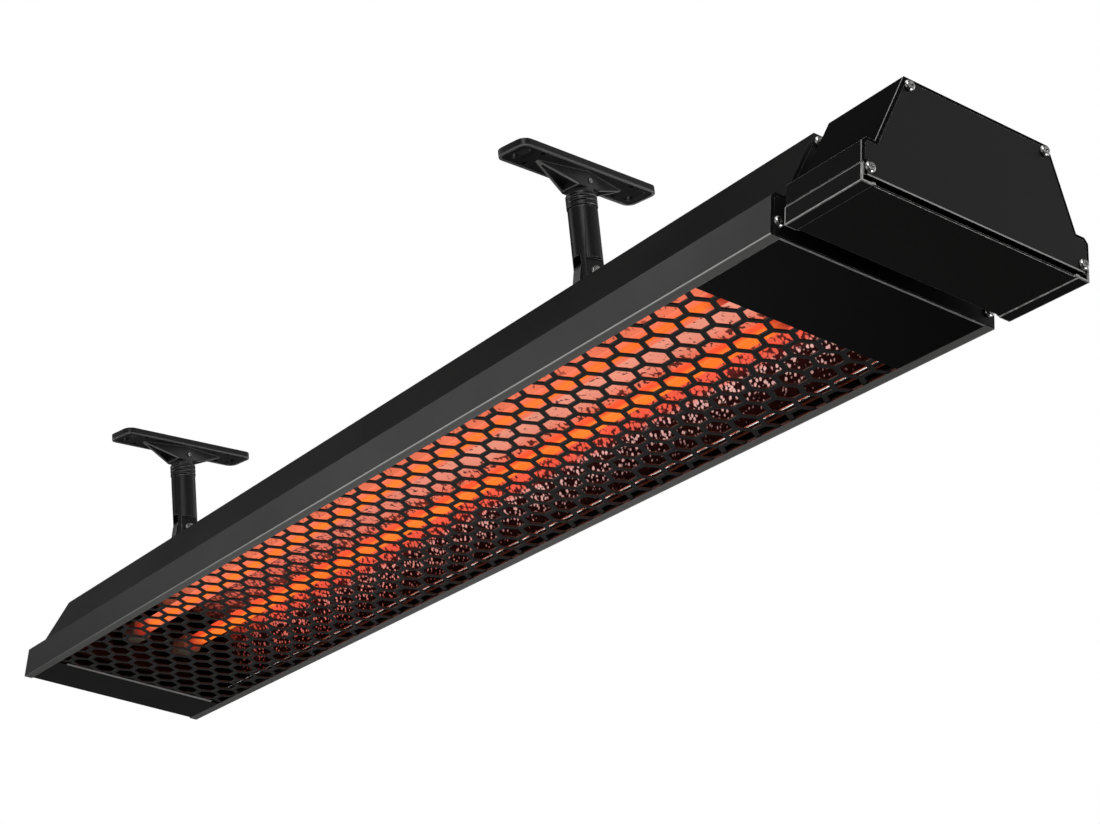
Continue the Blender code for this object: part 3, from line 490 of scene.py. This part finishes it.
BLACK = ((0.0085, 0.0085, 0.0083), (0.0125, 0.0125, 0.012))
DULL_BLACK = ((0.0030, 0.0030, 0.0029), (0.0060, 0.0060, 0.0057))
POWDER = powder_coat("finish_powder_black", *BLACK, 0.36, 0.50)
HOUSING = powder_coat(
    "finish_housing", (0.0070, 0.0070, 0.0068), (0.0105, 0.0105, 0.0100), 0.32, 0.44,
    lit_marks=(LIPS, FOLD), gloss=0.42,
)
STRIP = powder_coat("finish_strip", *BLACK, 0.40, 0.54, lit_marks=(STRIP_EDGE,), gloss=0.3)
POWDER_DULL = powder_coat("finish_powder_dull", *DULL_BLACK, 0.42, 0.54, lit_marks=(BOX_CORNER,), gloss=0.06)
POWDER_TRAY = powder_coat(
    "finish_powder_tray", *DULL_BLACK, 0.42, 0.54,
    lit_marks=(TRAY_UNDER, FOLD, TRAY_CORNER, TRAY_SEAM, TRAY_START), gloss=0.09,
)
POWDER_END = powder_coat("finish_powder_end", *BLACK, 0.36, 0.50, lit_marks=(PLATE_FOOT,))
POWDER_DARK = powder_coat(
    "finish_powder_dark", (0.0008, 0.0008, 0.0008), (0.0016, 0.0016, 0.0015), 0.28, 0.36,
    lit_marks=(PANEL_EDGE,), gloss=0.10,
)
# Painted highlight on the rounded edges of the sheet parts, over scuffed paint
POWDER_EDGE = scuffed_and_highlit_edge("finish_powder_edge", (0.34, 0.34, 0.335), (0.68, 0.68, 0.67), 0.32)
CAST = cast_paint("finish_cast_black", (0.003, 0.003, 0.0032), (0.007, 0.007, 0.0072))
# Painted highlight on the rounded edges of the castings, over scuffed paint
CAST_EDGE = scuffed_and_highlit_edge("finish_cast_edge", (0.14, 0.14, 0.14), (0.46, 0.46, 0.455), 0.30)
GUARD = powder_coat("finish_guard", (0.036, 0.036, 0.034), (0.052, 0.052, 0.049), 0.34, 0.48)
REFLECTOR = hammered_aluminium()
STEEL = bright_steel()
QUARTZ = quartz()
CARBON = carbon()
CERAMIC = ceramic()
TERMINAL = moulded("finish_terminal_plastic", (0.60, 0.59, 0.55), (0.74, 0.73, 0.69))
NYLON = moulded("finish_gland_plastic", (0.010, 0.010, 0.010), (0.020, 0.020, 0.020))


# ---------------------------------------------------------------- CAD nodes

def finish_node(name, material, edge=None, width=0.0, angle=30.0):
    """Gives a CAD node its finish and, where asked, rounds its edges and gives them the edge finish: scuffed
    paint with a painted highlight.
    """
    obj = NODES[name]
    obj.data.materials.clear()
    obj.data.materials.append(material)
    if width <= 0.0:
        return
    if "custom_normal" in obj.data.attributes:
        obj.data.attributes.remove(obj.data.attributes["custom_normal"])
    obj.data.shade_smooth()
    if edge is not None:
        obj.data.materials.append(edge)
    weld = obj.modifiers.new("weld", "WELD")
    weld.merge_threshold = 2e-6
    flatten = obj.modifiers.new("flatten", "DECIMATE")
    flatten.decimate_type = "DISSOLVE"
    flatten.angle_limit = math.radians(1.0)
    bevel = obj.modifiers.new("edge", "BEVEL")
    bevel.width = width
    bevel.segments = 2
    bevel.limit_method = "ANGLE"
    bevel.angle_limit = math.radians(angle)
    bevel.use_clamp_overlap = True
    if edge is not None:
        bevel.material = 1
    even = obj.modifiers.new("even", "WEIGHTED_NORMAL")
    even.keep_sharp = False
    even.weight = 80


for word in ("near", "far"):
    centre = 0.0 if word == "near" else -BRACKET_SPACING
    # A lit copy of the cast paint: each ceiling plate's underside painted pale as painted light
    paint = cast_paint(f"finish_cast_{word}_plate", (0.055, 0.055, 0.0555), (0.105, 0.105, 0.1055), centre)
    finish_node(f"{word}_ceiling_plate", paint, CAST_EDGE, 0.0006)
    finish_node(f"{word}_swivel_collar", CAST, CAST_EDGE, 0.00015, angle=25.0)
    finish_node(f"{word}_arm_tube", CAST, CAST_EDGE, 0.0003)
    finish_node(f"{word}_knuckle_foot", CAST, CAST_EDGE, 0.0004)
    for part in ("hub_screw", "pivot_bolt", "pivot_nut"):
        finish_node(f"{word}_{part}", STEEL, None, 0.0002)
finish_node("main_housing", HOUSING, POWDER_EDGE, 0.0004)
finish_node("far_bottom_strip", STRIP)
finish_node("near_blanking_panel", POWDER_DARK, POWDER_EDGE, 0.0002)
finish_node("terminal_housing", POWDER_DULL, POWDER_EDGE, 0.0004)
finish_node("terminal_tray_cover", POWDER_TRAY, POWDER_EDGE, 0.0004)
finish_node("terminal_end_plate", POWDER_END, POWDER_EDGE, 0.0003)
for part in ("far_end_plate", "near_bulkhead", "terminal_inner_plate", "neck_duct"):
    finish_node(part, POWDER, POWDER_EDGE, 0.0003)
for part in ("reflector_far_plate", "reflector_near_plate"):
    finish_node(part, REFLECTOR, None, 0.0002)
for part in ("lamp_holder_far", "lamp_holder_near"):
    finish_node(part, STEEL, None, 0.0002)
for side in ("left", "right"):
    finish_node(f"quartz_tube_{side}", QUARTZ)
    for part in ("far", "near"):
        finish_node(f"ceramic_cap_{side}_{part}", CERAMIC, None, 0.0006)
finish_node("terminal_block", TERMINAL, None, 0.0004)
for part in ("cable_gland", "gland_lock_nut"):
    finish_node(part, NYLON, None, 0.0003)


# ---------------------------------------------------------------- pieces

def make_piece(name, bm, body, materials, replaced, smooth=True, place=HEATER):
    """Turns a bmesh into a visible piece that rides on a body in place of the CAD nodes it replaces."""
    bmesh.ops.recalc_face_normals(bm, faces=bm.faces)
    mesh = bpy.data.meshes.new(name)
    bm.to_mesh(mesh)
    bm.free()
    for material in materials:
        mesh.materials.append(material)
    if smooth:
        mesh.shade_smooth()
        mesh.set_sharp_from_angle(angle=math.radians(40.0))
    mesh.transform(place)
    obj = bpy.data.objects.new(name, mesh)
    bpy.context.scene.collection.objects.link(obj)
    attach(obj, body)
    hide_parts(*replaced)
    return obj


def guard_mesh():
    """The honeycomb guard: one sheet of hexagon rings, halved along its two sides."""
    outer_radius = GUARD_PITCH / math.sqrt(3)
    inner_radius = GUARD_HOLE / math.sqrt(3)
    low, high = GUARD_Z, GUARD_Z + GUARD_SHEET
    bm = bmesh.new()
    shared = {}

    def corner(x, y, z):
        key = (round(x * 1e6), round(y * 1e6), round(z * 1e6))
        if key not in shared:
            shared[key] = bm.verts.new((x, y, z))
        return shared[key]

    def hexagon(radius):
        return [(radius * math.cos(math.pi * i / 3), radius * math.sin(math.pi * i / 3)) for i in range(6)]

    def cell(x, y, rim, hole):
        rims = [[corner(x + a, y + b, z) for a, b in rim] for z in (low, high)]
        holes = [[corner(x + a, y + b, z) for a, b in hole] for z in (low, high)]
        count = len(rim)
        for i in range(count):
            j = (i + 1) % count
            bm.faces.new((rims[0][i], rims[0][j], holes[0][j], holes[0][i]))
            bm.faces.new((rims[1][i], holes[1][i], holes[1][j], rims[1][j]))
            bm.faces.new((holes[0][i], holes[0][j], holes[1][j], holes[1][i]))

    full = (hexagon(outer_radius), hexagon(inner_radius))
    cut = GUARD_EDGE_BAR
    slant = cut / math.sqrt(3)
    for column in range(GUARD_FIRST, GUARD_LAST + 1):
        x = GUARD_COLUMN + column * GUARD_PITCH * math.sqrt(3) / 2
        whole = GUARD_ROWS - column % 2
        for row in range(whole):
            cell(x, (row - (whole - 1) / 2) * GUARD_PITCH, *full)
        if column % 2 == 0:
            continue
        for side in (-1, 1):
            rim = [
                (-outer_radius, 0.0), (-outer_radius / 2, -side * GUARD_PITCH / 2),
                (outer_radius / 2, -side * GUARD_PITCH / 2), (outer_radius, 0.0),
            ]
            hole = [
                (-inner_radius + slant, -side * cut), (-inner_radius / 2, -side * GUARD_HOLE / 2),
                (inner_radius / 2, -side * GUARD_HOLE / 2), (inner_radius - slant, -side * cut),
            ]
            cell(x, side * GUARD_ROWS / 2 * GUARD_PITCH, rim, hole)
    open_edges = [edge for edge in bm.edges if len(edge.link_faces) == 1]
    for edge in open_edges:
        a, b = edge.verts
        if max(a.co.z, b.co.z) < (low + high) / 2:
            bm.faces.new((a, b, corner(b.co.x, b.co.y, high), corner(a.co.x, a.co.y, high)))
    guard = make_piece("guard_mesh", bm, "heater", [GUARD], ["lamp_grille"], smooth=False)
    bevel = guard.modifiers.new("edge", "BEVEL")
    bevel.width = GUARD_BEVEL
    bevel.segments = 1
    bevel.limit_method = "ANGLE"
    bevel.angle_limit = math.radians(40.0)


def reflector_profile():
    """(y, z) points across the two-trough reflector, close together, from its left edge to its right."""
    half = list(REFLECTOR_WALL)
    for turn in TROUGH_TURNS:
        reach = TROUGH_REACH_OUT if turn < 90 else LAMP_Y
        angle = math.radians(turn)
        half.append((LAMP_Y + reach * math.cos(angle), TROUGH_Z + TROUGH_DEPTH * math.sin(angle)))
    half.append((0.0, RIDGE_Z))
    line = [Vector((-y, z)) for y, z in half[:-1]] + [Vector(point) for point in reversed(half)]
    spaced = [line[0]]
    for a, b in zip(line, line[1:]):
        count = max(1, round((b - a).length / REFLECTOR_STEP))
        spaced += [a.lerp(b, (i + 1) / count) for i in range(count)]
    ridge = len(spaced) // 2
    for _ in range(EASING_PASSES):
        eased = [p.copy() for p in spaced]
        for i in range(1, len(spaced) - 1):
            if abs(i - ridge) < 2:
                continue
            eased[i] = spaced[i] * 0.5 + (spaced[i - 1] + spaced[i + 1]) * 0.25
        spaced = eased
    return spaced


def bead_end(bm, x, y):
    """The corners of one end of the bead rolled on the reflector's lower edge."""
    angles = [math.pi * i / 6 for i in range(BEAD_SIDES)]
    return [
        bm.verts.new((x, y + BEAD_RADIUS * math.cos(angle), BEAD_Z + BEAD_RADIUS * math.sin(angle)))
        for angle in angles
    ]


def reflector_sheet():
    """Two troughs of hammered sheet: dimpled towards the lamps and plain behind."""
    start, end, sheet = REFLECTOR_START, REFLECTOR_END, REFLECTOR_SHEET
    line = reflector_profile()
    count = len(line)
    across = np.array([tuple(p) for p in line])
    tangent = np.gradient(across, axis=0)
    tangent /= np.linalg.norm(tangent, axis=1)[:, None]
    normal = np.column_stack((-tangent[:, 1], tangent[:, 0]))
    length = np.concatenate(([0.0], np.cumsum(np.linalg.norm(np.diff(across, axis=0), axis=1))))
    xs = np.linspace(start, end, int((end - start) / REFLECTOR_STEP) + 1)
    draw = random.Random(7)
    dimple_rows, dimple_columns = (int(reach / DIMPLE_PITCH) + 2 for reach in (length[-1], end - start))
    dimples = kdtree.KDTree(dimple_rows * dimple_columns)
    for i in range(dimple_columns):
        for j in range(dimple_rows):
            x = start + (i + draw.uniform(-DIMPLE_DRIFT, DIMPLE_DRIFT)) * DIMPLE_PITCH
            along = (j + 0.5 * (i % 2) + draw.uniform(-DIMPLE_DRIFT, DIMPLE_DRIFT)) * DIMPLE_PITCH
            dimples.insert((x, along, 0.0), i * dimple_rows + j)
    dimples.balance()
    bm = bmesh.new()
    front = []
    for x in xs:
        column = []
        for k in range(count):
            distance = dimples.find((x, length[k], 0.0))[2]
            rise = DIMPLE_RISE * (1.0 - min(1.0, distance / (DIMPLE_PITCH * DIMPLE_REACH)) ** 2)
            if k in (0, count - 1):
                rise = 0.0
            y, z = across[k] - normal[k] * rise
            column.append(bm.verts.new((x, y, z)))
        front.append(column)
    back = [[bm.verts.new((x, *(across[k] + normal[k] * sheet))) for k in range(count)] for x in (start, end)]
    for left, right in zip(front, front[1:]):
        for k in range(count - 1):
            bm.faces.new((left[k], left[k + 1], right[k + 1], right[k]))
    for k in range(count - 1):
        bm.faces.new((back[0][k], back[1][k], back[1][k + 1], back[0][k + 1]))
        bm.faces.new((front[0][k], back[0][k], back[0][k + 1], front[0][k + 1]))
        bm.faces.new((front[-1][k], front[-1][k + 1], back[1][k + 1], back[1][k]))
    for k in (0, count - 1):
        bm.faces.new([column[k] for column in front] + [back[1][k], back[0][k]])
    for side in (-1, 1):
        first, last = (bead_end(bm, x, side * BEAD_Y) for x in (start, end))
        faces = [bm.faces.new(first), bm.faces.new(last)]
        faces += [bm.faces.new((first[i - 1], first[i], last[i], last[i - 1])) for i in range(BEAD_SIDES)]
        for face in faces:
            face.material_index = 1
    materials = [REFLECTOR, STEEL]
    make_piece("hammered_reflector", bm, "heater", materials, ["reflector"])


def carbon_coil(name, centre_y, replaced):
    """A flat carbon ribbon wound into a loose coil inside its tube."""
    width, thick = COIL_WIDTH, COIL_THICKNESS
    turns = (LAMP_END - LAMP_START) / COIL_PITCH
    steps = int(turns * COIL_STEPS_PER_TURN)
    bm = bmesh.new()
    previous = None
    for i in range(steps + 1):
        share = i / steps
        angle = 2 * math.pi * turns * share
        x = LAMP_START + (LAMP_END - LAMP_START - width) * share
        ring = []
        for dx, dr in ((0.0, 0.0), (width, 0.0), (width, thick), (0.0, thick)):
            reach = COIL_RADIUS - dr
            ring.append(bm.verts.new((
                x + dx, centre_y + reach * math.cos(angle), LAMP_Z + reach * math.sin(angle),
            )))
        if previous:
            for k in range(4):
                bm.faces.new((previous[k], previous[(k + 1) % 4], ring[(k + 1) % 4], ring[k]))
        else:
            bm.faces.new(ring)
        previous = ring
    bm.faces.new(list(reversed(previous)))
    make_piece(name, bm, "heater", [CARBON], [replaced])


def socket_screw(length=0.0085, shank=0.0016, head=0.0036, height=0.0023, recess=0.0011, segments=28):
    """A button-head screw with a hexagon socket, its head's underside at z = 0."""
    turns = [2 * math.pi * i / segments for i in range(segments)]
    bm = bmesh.new()
    profile = [
        (shank, -length), (shank, 0.0), (head * 0.97, 0.0), (head, 0.00018), (head * 0.985, height * 0.30),
        (head * 0.90, height * 0.60), (head * 0.74, height * 0.86), (head * 0.54, height),
    ]

    def join(low, high):
        for i in range(segments):
            j = (i + 1) % segments
            bm.faces.new((low[i], low[j], high[j], high[i]))

    def hexagon_ring(z):
        ring = []
        for angle in turns:
            reach = recess / math.cos(angle % (math.pi / 3) - math.pi / 6)
            ring.append(bm.verts.new((reach * math.cos(angle), reach * math.sin(angle), z)))
        return ring

    rings = [
        [bm.verts.new((radius * math.cos(angle), radius * math.sin(angle), z)) for angle in turns]
        for radius, z in profile
    ]
    for low, high in zip(rings, rings[1:]):
        join(low, high)
    bm.faces.new(list(reversed(rings[0])))
    mouth = hexagon_ring(height * 0.985)
    floor = hexagon_ring(height * 0.35)
    join(rings[-1], mouth)
    join(mouth, floor)
    bm.faces.new(floor)
    return bm


def place_screws(prefix, places, direction):
    """One screw at each place, its head facing the given way and its socket turned at random."""
    draw = random.Random(prefix)
    turn = Vector((0, 0, 1)).rotation_difference(Vector(direction)).to_matrix().to_4x4()
    for number, place in enumerate(places, 1):
        spin = Matrix.Rotation(draw.uniform(0, math.pi / 3), 4, "Z")
        matrix = HEATER @ Matrix.Translation(place) @ turn @ spin
        make_piece(
            f"{prefix}_{number}_detail", socket_screw(), "heater", [STEEL],
            [f"{prefix}_{number}"], place=matrix,
        )


guard_mesh()
reflector_sheet()
carbon_coil("carbon_coil_left", -LAMP_Y, "carbon_filament_left")
carbon_coil("carbon_coil_right", LAMP_Y, "carbon_filament_right")
for prefix, end, outward in (
    ("far_end_screw", 0.0, -1), ("bulkhead_screw", BODY_LENGTH, 1), ("end_plate_screw", TOTAL_LENGTH, 1),
):
    face = end + outward * PLATE_STANDS_OUT
    place_screws(prefix, [(face, y, z) for y, z in SCREW_CORNERS], (outward, 0, 0))
for word, centre in (("near", NEAR_X), ("far", NEAR_X - BRACKET_SPACING)):
    tops = [(centre + side * FOOT_SCREW_REACH, 0.0, HEIGHT + FOOT_TOP) for side in (-1, 1)]
    place_screws(f"{word}_foot_screw", tops, (0, 0, 1))


# ---------------------------------------------------------------- studio

def make_floor():
    """A pale floor far below, kept out of reflections and out of the light on the heater."""
    bm = bmesh.new()
    bmesh.ops.create_grid(bm, x_segments=FLOOR_CELLS, y_segments=FLOOR_CELLS, size=FLOOR_HALF)
    mesh = bpy.data.meshes.new("studio_floor")
    bm.to_mesh(mesh)
    bm.free()
    tree = Tree("studio_floor")
    mottle = tree.noise(3.0, 3.0)
    pale = tree.ramp(mottle, [(0.3, (0.80, 0.80, 0.80)), (0.7, (0.84, 0.84, 0.84))])
    tree.to_shader(pale, "Base Color")
    tree.set(Roughness=0.9, Emission_Color=(1.0, 1.0, 1.0, 1.0), Emission_Strength=0.48)
    mesh.materials.append(tree.material)
    floor = bpy.data.objects.new("studio_floor", mesh)
    floor.location = (0.0, 0.0, FLOOR_Z)
    bpy.context.scene.collection.objects.link(floor)
    floor.visible_glossy = False
    floor.visible_diffuse = False


def make_world():
    """White to the camera, and to everything else a dark room with a few soft panels of light in it."""
    world = bpy.data.worlds.new("studio")
    bpy.context.scene.world = world
    world.use_nodes = True
    nodes, links = world.node_tree.nodes, world.node_tree.links
    nodes.clear()
    out = nodes.new("ShaderNodeOutputWorld")
    mix = nodes.new("ShaderNodeMixShader")
    path = nodes.new("ShaderNodeLightPath")
    seen = nodes.new("ShaderNodeBackground")
    seen.inputs["Color"].default_value = (1, 1, 1, 1)
    seen.inputs["Strength"].default_value = 1.0
    room = nodes.new("ShaderNodeBackground")
    room.inputs["Color"].default_value = (1, 1, 1, 1)
    coordinate = nodes.new("ShaderNodeTexCoord")
    total = None
    for direction, inner, outer, strength in PANELS:
        dot = nodes.new("ShaderNodeVectorMath")
        dot.operation = "DOT_PRODUCT"
        dot.inputs[1].default_value = Vector(direction).normalized()
        links.new(coordinate.outputs["Generated"], dot.inputs[0])
        soft = nodes.new("ShaderNodeMapRange")
        soft.interpolation_type = "SMOOTHSTEP"
        soft.inputs["From Min"].default_value = math.cos(math.radians(outer))
        soft.inputs["From Max"].default_value = math.cos(math.radians(inner))
        soft.inputs["To Max"].default_value = strength
        links.new(dot.outputs["Value"], soft.inputs["Value"])
        add = nodes.new("ShaderNodeMath")
        add.operation = "ADD"
        add.inputs[1].default_value = ROOM_LIGHT
        links.new(soft.outputs["Result"], add.inputs[0])
        if total is not None:
            links.new(total, add.inputs[1])
        total = add.outputs["Value"]
    links.new(total, room.inputs["Strength"])
    links.new(path.outputs["Is Camera Ray"], mix.inputs["Fac"])
    links.new(room.outputs["Background"], mix.inputs[1])
    links.new(seen.outputs["Background"], mix.inputs[2])
    links.new(mix.outputs["Shader"], out.inputs["Surface"])


def make_camera():
    """The photograph's view."""
    data = bpy.data.cameras.new("camera")
    data.sensor_width = 36.0
    data.lens = CAMERA_LENS
    data.clip_start, data.clip_end = 0.05, 60.0
    camera = bpy.data.objects.new("camera", data)
    bpy.context.scene.collection.objects.link(camera)
    camera.location = CAMERA_PLACE
    camera.rotation_mode = "QUATERNION"
    camera.rotation_quaternion = Quaternion(CAMERA_TURN)
    bpy.context.scene.camera = camera


# Soft panels of light: direction, half angles where the panel is full and where it ends, and strength
ROOM_LIGHT = 0.03
PANELS = [
    ((-0.70, -0.46, 0.55), 9.0, 17.5, 1.20),
    ((-0.70, 0.26, -0.66), 5.0, 15.0, 0.50),
    ((0.62, 0.66, 0.30), 14.0, 40.0, 0.30),
    ((-0.69, -0.58, -0.45), 6.0, 16.0, 4.0),
    ((0.45, 0.50, -0.72), 10.0, 22.0, 4.0),
    ((0.60, -0.50, 0.60), 10.0, 22.0, 3.0),
    ((0.05, -0.25, 1.0), 12.0, 32.0, 1.1),
    ((0.0, -1.0, 0.0), 12.0, 30.0, 0.45),
    ((0.0, 1.0, 0.0), 12.0, 28.0, 1.0),
    ((1.0, -0.10, -0.05), 12.0, 28.0, 0.45),
    ((-1.0, 0.10, 0.0), 6.0, 15.0, 0.40),
]

make_floor()
make_world()
make_camera()

scene = bpy.context.scene
scene.view_settings.view_transform = "Standard"
scene.view_settings.look = "None"
